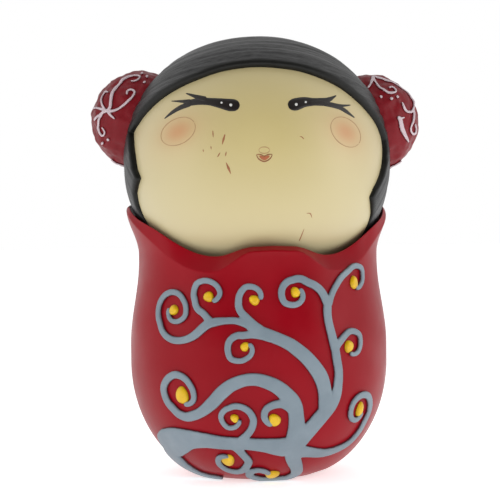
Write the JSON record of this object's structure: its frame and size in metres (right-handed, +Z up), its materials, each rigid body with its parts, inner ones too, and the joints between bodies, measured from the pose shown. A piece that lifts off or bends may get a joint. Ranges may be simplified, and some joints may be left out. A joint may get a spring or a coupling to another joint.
{
  "type": "kokeshi doll",
  "caption": "Round-headed kokeshi figurine whose head turns on a peg in a petal-edged hollow body with raised curling vines.",
  "frame": {"origin": "middle of the flat base, on the surface that the doll stands on", "axes": "+Z up along the axis that the head turns about, the face looks along -Y, +X is the doll's left"},
  "size_m": [0.0983, 0.079, 0.1306],
  "materials": {
    "red_enamel": "satin red paint on cast resin",
    "vine_paint": "matt blue-grey paint on raised relief",
    "berry_paint": "satin yellow paint",
    "face_paint": "satin cream paint on cast resin",
    "hair_paint": "satin charcoal paint with carved strands",
    "bun_enamel": "satin dark red paint",
    "sprig_paint": "pale pinkish white paint on raised relief",
    "peg_wood": "plain turned wood",
    "plug_rubber": "dark soft plug"
  },
  "bodies": {
    "body": {"body_shell": "red_enamel", "base_plug": "plug_rubber", "neck_socket": "peg_wood", "vine_relief": "vine_paint", "berry_01": "berry_paint", "berry_02": "berry_paint", "berry_03": "berry_paint", "berry_04": "berry_paint", "berry_05": "berry_paint", "berry_06": "berry_paint", "berry_07": "berry_paint", "berry_08": "berry_paint", "berry_09": "berry_paint", "berry_10": "berry_paint", "berry_11": "berry_paint", "berry_12": "berry_paint", "berry_13": "berry_paint"},
    "head": {"head_shell": "face_paint", "hair_cap": "hair_paint", "neck_peg": "peg_wood", "bun_right": "bun_enamel", "bun_peg_right": "peg_wood", "bun_sprig_right": "sprig_paint", "bun_left": "bun_enamel", "bun_peg_left": "peg_wood", "bun_sprig_left": "sprig_paint"}
  },
  "joints": [
    {"name": "head_turn", "type": "hinge", "parent": "body", "child": "head", "pos_m": [0, 0, 0.056], "axis": [0, 0, 1], "continuous": true}
  ]
}
